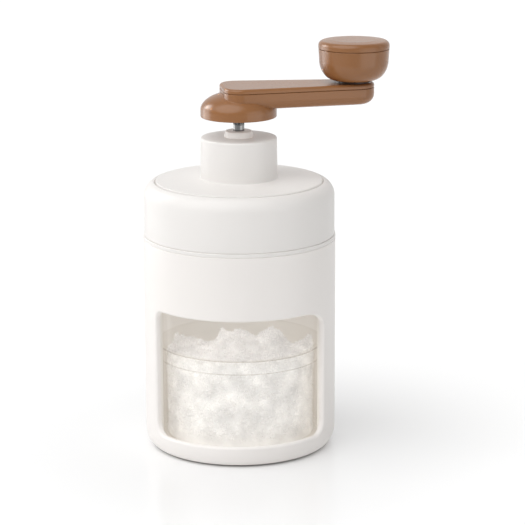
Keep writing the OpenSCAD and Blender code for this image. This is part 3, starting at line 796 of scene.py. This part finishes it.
def crystal_places(pick):
    """Places and sizes of loose crystals: over the top, dense behind the window, and thin at the back."""
    for _ in range(GRAINS_ON_TOP):
        size = pick.uniform(*GRAIN_SIZES)
        radius = (CUP_BORE - 0.3 - 1.3 * size) * math.sqrt(pick.random())
        turn = pick.uniform(0, TURN)
        x, y = radius * math.cos(turn), radius * math.sin(turn)
        yield (x, y, ice_top(x, y) + pick.uniform(-0.2, 1.1)), size
    for count, middle, reach in GRAINS_AT_SIDE:
        for _ in range(count):
            size = pick.uniform(*GRAIN_SIZES)
            z = pick.uniform(CUP_Z + CUP_WALL + 1.2, CUP_TOP + 1.0)
            turn = math.radians(middle + pick.uniform(-reach, reach))
            radius = cup_inside(z) - 0.25 - 1.3 * size - 1.5 * pick.random() ** 2
            x, y = radius * math.cos(turn), radius * math.sin(turn)
            if z < ice_top(x, y) - 0.3:
                yield (x, y, z), size


def build_ice():
    """A heap of shaved ice in the cup: a lumpy body under a skin of loose crystals."""
    pick = random.Random(7)
    vertices, faces = ice_surface()
    for place, size in crystal_places(pick):
        grain_vertices, grain_faces = crystal(place, size, pick)
        shift = len(vertices)
        vertices.extend(grain_vertices)
        faces.extend([i + shift for i in face] for face in grain_faces)
    heap = make_object("shaved_ice", vertices, faces, ICE, smooth_angle=40)
    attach(heap, "cup")


# ---- Cover, neck and bush ----

def build_cover():
    """The white cover: its rounded shoulder, the seat of its plate, its shelf and its three lugs."""
    seat_r = PLATE_R + 0.3
    opening, shelf_r, lug_r = 33.0, 41.0, 43.3
    lug_low, lug_high, lug_half = 109.8, 111.6, 12
    centre = (COVER_R - COVER_SHOULDER, COVER_TOP - COVER_SHOULDER)
    bore = COVER_R - 2.5
    ledge = PLATE_UNDER - 2.5
    shelf = high("lid_seal")[2] + 0.05
    foot = COVER_Z + 0.03
    lower = arc_points((COVER_R, COVER_TOP), (COVER_R, foot), (bore, foot), 0.4, 6)[::-1]
    body = [(COVER_R, z) for z in (112.0, 116.0, 120.0, 124.0)]
    shoulder_arc = ellipse(centre, COVER_SHOULDER, COVER_SHOULDER, 0, 68.5, 24)
    lip = ellipse((seat_r + 0.9, COVER_TOP - 1.25), 0.9, 0.75, 100, 180, 6)
    inside = rounded([
        (seat_r, PLATE_UNDER), (opening, PLATE_UNDER, 0.5), (opening, ledge, 0.5), (bore, ledge, 2.0),
        (bore, shelf + 2), (shelf_r, shelf + 2, 0.4), (shelf_r, shelf, 0.4), (bore, shelf),
        (bore, COVER_Z + 0.3),
    ])
    outline = lower + body + shoulder_arc + lip + inside
    parts = lathe_mesh(with_steps(outline, 4.0))
    for turn in (0, 120, 240):
        lug = arc_block(lug_r, bore + 0.5, lug_low, lug_high, turn - lug_half, turn + lug_half)
        parts = add_mesh(parts, lug)
    cover = make_object("cover", *parts, WHITE)
    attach(cover, "cover")
    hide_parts("cover_shell")


def build_top_plate():
    """The round plate and the hollow neck that stands on it, as one moulding."""
    neck_foot = COVER_TOP + 1.2
    ceiling = NECK_TOP - 2.5
    hole, bore = BUSH_R + 0.05, NECK_R - 2.15
    outline = rounded([
        (hole, ceiling), (bore, ceiling, 1.0), (bore, neck_foot - 2.6, 1.2),
        (31.5, PLATE_UNDER), (PLATE_R, PLATE_UNDER), (PLATE_R, PLATE_TOP + 0.3, 0.7),
        (NECK_R + 0.2, neck_foot, 0.4), (NECK_R, NECK_TOP, 1.0), (hole, NECK_TOP),
    ])
    plate = lathe("top_plate_and_neck", outline, NECK_WHITE, longest=3.0)
    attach(plate, "cover")
    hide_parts("top_plate")


def build_bush():
    """The bush that the shaft runs in, with its collar on top of the neck."""
    bore = SHAFT_R + 0.05
    outline = rounded([
        (bore, BUSH_Z), (BUSH_R, BUSH_Z, 0.4), (BUSH_R, NECK_TOP), (COLLAR_R, NECK_TOP, 0.3),
        (COLLAR_R - 0.75, BUSH_TOP, 0.6), (bore, BUSH_TOP, 0.3),
    ])
    # The collar carries the painted glow of its white.
    bush = lathe("neck_collar", outline, COLLAR_WHITE, segments=96)
    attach(bush, "cover")
    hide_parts("shaft_bush")


def build_spring():
    """A wire coil with closed ends, wound round the shaft."""
    bottom, top = low("press_spring")[2], high("press_spring")[2]
    wire, mean, turns, per_turn = 0.7, 6.5, 10.5, 40
    steps = int(turns * per_turn)
    rise = top - bottom - 2 * wire
    path = []
    for i in range(steps + 1):
        share = i / steps
        end_turn = 1.0 / turns
        flat = 2.1 * wire
        if share < end_turn:
            z = flat * share / end_turn
        elif share > 1 - end_turn:
            z = rise - flat * (1 - share) / end_turn
        else:
            z = flat + (rise - 2 * flat) * (share - end_turn) / (1 - 2 * end_turn)
        turn = TURN * i / per_turn
        path.append((turn, bottom + wire + z))
    sides = 12
    vertices, faces = [], []
    for turn, z in path:
        for k in range(sides):
            around = TURN * k / sides
            out = mean + wire * math.cos(around)
            vertices.append((out * math.cos(turn), out * math.sin(turn), z + wire * math.sin(around)))
    for i in range(steps):
        for k in range(sides):
            n = (k + 1) % sides
            faces.append([i * sides + k, i * sides + n, (i + 1) * sides + n, (i + 1) * sides + k])
    faces += [list(range(sides)), [steps * sides + k for k in range(sides)]]
    spring = make_object("coil_spring", vertices, faces, SPRING_STEEL)
    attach(spring, "cover")
    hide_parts("press_spring")
    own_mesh(spring)


def build_shaft():
    """The steel shaft, with a shoulder under the hub and a threaded end inside it."""
    shoulder = HUB_Z + 0.2
    thread_z = HUB_Z + 9.4
    crest, root, pitch = 2.4, 2.05, 0.8
    outline = rounded([
        (0.0, SHAFT_Z), (SHAFT_R, SHAFT_Z, 0.4), (SHAFT_R, shoulder), (SHAFT_R + 1.4, shoulder, 0.3),
        (SHAFT_R + 1.4, shoulder + 1.2, 0.3), (SHAFT_R, shoulder + 1.2), (SHAFT_R, thread_z, 0.2),
    ])
    z = thread_z
    while z < SHAFT_TOP - 1.0:
        outline += [(crest, z + 0.2), (crest, z + 0.35), (root, z + 0.6), (root, z + 0.7)]
        z += pitch
    outline += [(crest, SHAFT_TOP - 0.4), (crest - 0.4, SHAFT_TOP), (0.0, SHAFT_TOP)]
    shaft = lathe("drive_shaft_steel", outline, STEEL, segments=96)
    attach(shaft, "crank")
    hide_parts("drive_shaft")


# ---- Crank ----

def arm_plan(inset, per_corner=22):
    """The arm's outline from above: a broad rounded end over the hub, and a round end under the knob."""
    corner, end = ARM_CORNER_R - inset, ARM_END_R - inset
    near = Vector(ARM_CORNER)
    far = Vector((CRANK_REACH, 0.0))
    away = far - near
    lean = math.atan2(near.y, away.x) + math.asin((corner - end) / away.length)
    normal = 90 - math.degrees(lean)
    points = ellipse(near, corner, corner, 180, normal, per_corner)
    start = Vector(points[-1])
    finish = far + end * Vector((math.cos(math.radians(normal)), math.sin(math.radians(normal))))
    side = [start.lerp(finish, k / 16) for k in range(1, 16)]
    points += [tuple(point) for point in side]
    points += ellipse(far, end, end, normal, -normal, 2 * per_corner)
    points += [(point.x, -point.y) for point in reversed(side)]
    points += ellipse((near.x, -near.y), corner, corner, -normal, -180, per_corner)
    cosine, sine = math.cos(CRANK_ANGLE), math.sin(CRANK_ANGLE)
    return [(x * cosine - y * sine, x * sine + y * cosine) for x, y in points]


def rounded_levels(bottom, top, low_edge, high_edge, steps=8):
    """Heights and insets that round a solid's lower and upper edges. An edge is (inset, height)."""
    levels = []
    for k in range(steps + 1):
        turn = math.pi / 2 * k / steps
        levels.append((bottom + low_edge[1] * (1 - math.cos(turn)), low_edge[0] * (1 - math.sin(turn))))
    for k in range(steps + 1):
        turn = math.pi / 2 * k / steps
        levels.append((top - high_edge[1] * (1 - math.sin(turn)), high_edge[0] * (1 - math.cos(turn))))
    return levels


def build_crank():
    """The crank: its hub with the arm's lower half, the boss round the shaft, and the arm's cap."""
    hollow_r, boss_r, boss_z, well_r = HUB_R - 2.5, SHAFT_R + 3.4, HUB_Z + 1.45, 6.6
    levels = rounded_levels(ARM_Z, ARM_SEAM - 0.07, (4.8, 5.0), (0.3, 0.25))
    lower = loft([(z, arm_plan(inset)) for z, inset in levels], BROWN, "crank_lower")
    dome = ellipse((0.0, HUB_Z + 3.5), HUB_R, 9.3, 0, 90, 40)
    outline = [(0.0, HUB_Z + 6.0), (12.0, HUB_Z + 6.0), (HUB_R - 0.6, HUB_Z + 2.0), (HUB_R - 0.5, HUB_Z)]
    outline += ellipse((HUB_R - 0.5, HUB_Z + 0.5), 0.5, 0.5, -90, 0, 5) + dome
    hub = lathe("crank_hub", outline, BROWN, segments=256, longest=0.6)
    cut(lower, hub, "UNION")
    ceiling = ellipse((0.0, HUB_Z + 2.7), hollow_r, 4.6, 0, 90, 20)
    room = [(0.0, HUB_Z - 2.0), (hollow_r, HUB_Z - 2.0)] + ceiling
    hollow = lathe("hollow", room, BROWN, segments=128)
    cut(lower, hollow, "DIFFERENCE")
    boss = lathe("boss", rounded([
        (SHAFT_R + 0.05, boss_z), (boss_r, boss_z, 0.4), (boss_r, HUB_Z + 8.4),
        (SHAFT_R + 0.05, HUB_Z + 8.4),
    ]), BROWN, segments=96)
    well = lathe("well", [
        (0.0, ARM_Z - 1.0), (well_r, ARM_Z - 1.0), (well_r, ARM_Z + 2.6), (0.0, ARM_Z + 2.6),
    ], BROWN, segments=96, centre=KNOB_XY)
    cut(lower, well, "DIFFERENCE")
    finish_shading(lower, 30)
    for piece in (lower, boss):
        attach(piece, "crank")
    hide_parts("crank_body")
    levels = rounded_levels(ARM_SEAM + 0.07, ARM_TOP, (0.35, 0.3), (1.5, 1.35))
    cap = loft([(z, arm_plan(inset)) for z, inset in levels], BROWN, "crank_cap")
    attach(cap, "crank")
    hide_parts("arm_cover")


def build_knob():
    """The knob: a hollow bowl with a bored boss in its middle, and the cap that closes it."""
    wide, tall = 7.9, 10.2
    bore, boss_r, boss_top, floor = 4.55, 7.2, KNOB_Z + 10.1, KNOB_Z + 2.4
    bowl = ellipse((KNOB_R - 0.45 - wide, KNOB_Z + tall), wide, tall, -90, 0, 24)
    outline = rounded([(bore, KNOB_Z)] + bowl + [
        (KNOB_R - 0.1, KNOB_SEAM, 0.3), (KNOB_R - 2.5, KNOB_SEAM), (KNOB_R - 2.8, KNOB_Z + tall, 5.0),
        (11.0, floor, 2.0), (boss_r, floor, 1.0), (boss_r, boss_top), (bore, boss_top),
    ])
    bowl_piece = lathe("knob_bowl", outline, BROWN, centre=KNOB_XY)
    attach(bowl_piece, "knob")
    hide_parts("knob_body")
    seam = low("knob_cap")[2]
    cap_outline = [(0.0, seam + 0.1)] + rounded([
        (0.0, seam + 0.1), (KNOB_R, seam + 0.1, 0.3), (KNOB_R, KNOB_TOP - 0.6, 2.5), (11.0, KNOB_TOP, 8.0),
        (0.0, KNOB_TOP),
    ])[1:]
    cap = lathe("knob_lid", cap_outline, BROWN, centre=KNOB_XY)
    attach(cap, "knob")
    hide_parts("knob_cap")


# ---- CAD nodes that stay ----

def dress_cad_nodes():
    """Materials for the CAD nodes that show as they are."""
    looks = {
        # The washer's dark brown is painted shade under the knob.
        WHITE: ("ice_chamber",), INNER_WHITE: ("press_plate", "knob_bush"), WASHER_SHADE_BROWN: ("knob_washer",),
        SEAL: ("lid_seal",),
        STEEL: ("blade", "blade_clamp", "blade_screws", "plate_screws", "spring_seat", "thrust_washer",
                "plate_pin", "ice_pins", "hub_washer", "hub_nut", "knob_axle", "axle_nut"),
    }
    for material, names in looks.items():
        for name in names:
            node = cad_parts[name]
            for slot in node.material_slots:
                slot.material = material


# ---- Stage, light and camera ----

def ramp(n, value, start, end):
    """A smooth ramp from 0 at one distance to 1 at another, in metres."""
    return n.add("ShaderNodeMapRange", {
        "Value": value, "From Min": start, "From Max": end,
    }, interpolation_type="SMOOTHSTEP").outputs["Result"]


def times(n, first, second):
    """The product of two values."""
    return n.add("ShaderNodeMath", {0: first, 1: second}, operation="MULTIPLY").outputs[0]


def build_stage():
    """A pale floor that gives off a little light, so that shadows on it stay light.

    It gives off none under the object, a painted contact shadow, and less near it, a painted pool of shade;
    it is also less bright far in front of it.
    """
    n = Nodes("studio_floor")
    depth = n.add("ShaderNodeSeparateXYZ", {"Vector": n.place()}).outputs["Y"]
    radius = n.add("ShaderNodeVectorMath", {0: n.place()}, operation="LENGTH").outputs["Value"]
    in_front = ramp(n, depth, -0.32, -0.7)
    # Less glow near the object: a painted pool of shade round it.
    away = ramp(n, radius, 0.06, 0.17)
    # No glow under the object: a painted contact shadow.
    outside_painted_contact_shadow = ramp(n, radius, 0.042, 0.0465)
    open_glow = times(n, n.spread(away, 0.18, 0.28), n.spread(in_front, 1.0, 0.6))
    shader = n.add("ShaderNodeBsdfPrincipled", {
        "Base Color": n.mix_color(in_front, (0.71, 0.71, 0.71, 1.0), (0.46, 0.46, 0.46, 1.0)),
        "Roughness": n.spread(n.noise(3.0), 0.17, 0.22),
        "Specular IOR Level": 0.5,
        "Emission Color": (1.0, 1.0, 1.0, 1.0),
        "Emission Strength": times(n, open_glow, outside_painted_contact_shadow),
    })
    reach = 6000.0
    corners = [(-reach, -reach, 0), (reach, -reach, 0), (reach, reach, 0), (-reach, reach, 0)]
    floor = make_object("studio_floor", corners, [[0, 1, 2, 3]], n.finish(shader.outputs[0]))


def add_lamp(name, data, place, toward):
    """A lamp at a place in millimetres, shining toward a direction."""
    lamp = bpy.data.objects.new(name, data)
    lamp.location = Vector(place) * MM
    lamp.rotation_euler = Vector(toward).to_track_quat("-Z", "Y").to_euler()
    bpy.context.scene.collection.objects.link(lamp)
    return lamp


def area_data(name, wide, tall, radiance):
    """A rectangular softbox that looks as bright as radiance, where 1 is paper white."""
    data = bpy.data.lights.new(name, "AREA")
    data.shape = "RECTANGLE"
    data.size, data.size_y = wide * MM, tall * MM
    data.energy = radiance * math.pi * wide * tall * MM * MM
    return data


def build_world():
    """Even light all round, and brighter behind the object, as a white backdrop is."""
    world = bpy.data.worlds.new("studio")
    world.use_nodes = True
    tree = world.node_tree
    sky = tree.nodes["Background"]
    sky.inputs["Color"].default_value = (1.0, 1.0, 1.0, 1.0)
    place = tree.nodes.new("ShaderNodeTexCoord")
    split = tree.nodes.new("ShaderNodeSeparateXYZ")
    fade = tree.nodes.new("ShaderNodeMapRange")
    fade.interpolation_type = "SMOOTHSTEP"
    fade.inputs["From Min"].default_value = 0.1
    fade.inputs["From Max"].default_value = 0.95
    fade.inputs["To Min"].default_value = 0.45
    fade.inputs["To Max"].default_value = 0.86
    tree.links.new(place.outputs["Generated"], split.inputs[0])
    tree.links.new(split.outputs["Y"], fade.inputs["Value"])
    tree.links.new(fade.outputs["Result"], sky.inputs["Strength"])
    bpy.context.scene.world = world


def build_key():
    """A broad, soft key from the upper left."""
    key = bpy.data.lights.new("key", "SUN")
    key.energy = 1.95
    key.angle = math.radians(70)
    add_lamp("key", key, (-500, -300, 700), (0.285, 0.255, -0.52))


def build_softboxes():
    """A tall strip far off at each side, and three panels that only show as reflections in gloss."""
    add_lamp("left_strip", area_data("left_strip", 110, 1000, 0.9), (-1150, 250, 520), (1150, -250, -380))
    add_lamp("right_strip", area_data("right_strip", 110, 900, 1.0), (1150, 150, 480), (-1150, -150, -340))
    panels = []
    for name, turn, wide, radiance in (("left_sheen", 155, 330, 2.4), ("right_sheen", -40, 400, 1.0)):
        x, y = 450 * math.cos(math.radians(turn)), 450 * math.sin(math.radians(turn))
        panels.append(add_lamp(name, area_data(name, wide, 420, radiance), (x, y, 215), (-x, -y, 0)))
    spot = area_data("left_spot", 150, 200, 6.0)
    panels.append(add_lamp("left_spot", spot, (-390, 225, 390), (390, -225, -200)))
    for panel in panels:
        panel.visible_diffuse = False
        panel.visible_camera = False


def build_inside_lights():
    """A faint narrow lamp in front that reaches in through the window, and a weak disc over the cup."""
    front = area_data("front", 60, 60, 0.09)
    front.spread = math.radians(7)
    add_lamp("front", front, (-160, -620, 120), (162, 620, 46)).visible_glossy = False
    inner = area_data("inner", 56, 56, 0.42)
    inner.shape = "DISK"
    lamp = add_lamp("inner", inner, (0, 0, WINDOW_HIGH - 1.8), (0, 0, -1))
    lamp.visible_camera = False
    lamp.visible_glossy = False


def build_camera():
    """A long lens in front, which looks down on the object from 1.1 m away."""
    data = bpy.data.cameras.new("camera")
    data.lens = 154.8
    data.sensor_width = 36.0
    data.clip_start, data.clip_end = 0.05, 30.0
    camera = bpy.data.objects.new("camera", data)
    camera.location = Vector((0.0, -1100.0, 363.0)) * MM
    pitch, yaw, roll = math.radians(13.8), math.radians(-0.6), math.radians(0.2)
    look = Vector((-math.sin(yaw) * math.cos(pitch), math.cos(yaw) * math.cos(pitch), -math.sin(pitch)))
    camera.rotation_mode = "QUATERNION"
    camera.rotation_quaternion = Quaternion(look, roll) @ look.to_track_quat("-Z", "Y")
    bpy.context.scene.collection.objects.link(camera)
    bpy.context.scene.camera = camera


def set_look():
    """Plain colours, and enough bounces for the clear plastic and the white inside."""
    bpy.context.scene.view_settings.view_transform = "Standard"
    bpy.context.scene.cycles.transparent_max_bounces = 32
    bpy.context.scene.cycles.diffuse_bounces = 8


build_shell()
build_pane()
build_foot_pad()
build_cup()
build_ice()
build_cover()
build_top_plate()
build_bush()
build_spring()
build_shaft()
build_crank()
build_knob()
dress_cad_nodes()
build_stage()
build_world()
build_key()
build_softboxes()
build_inside_lights()
build_camera()
set_look()
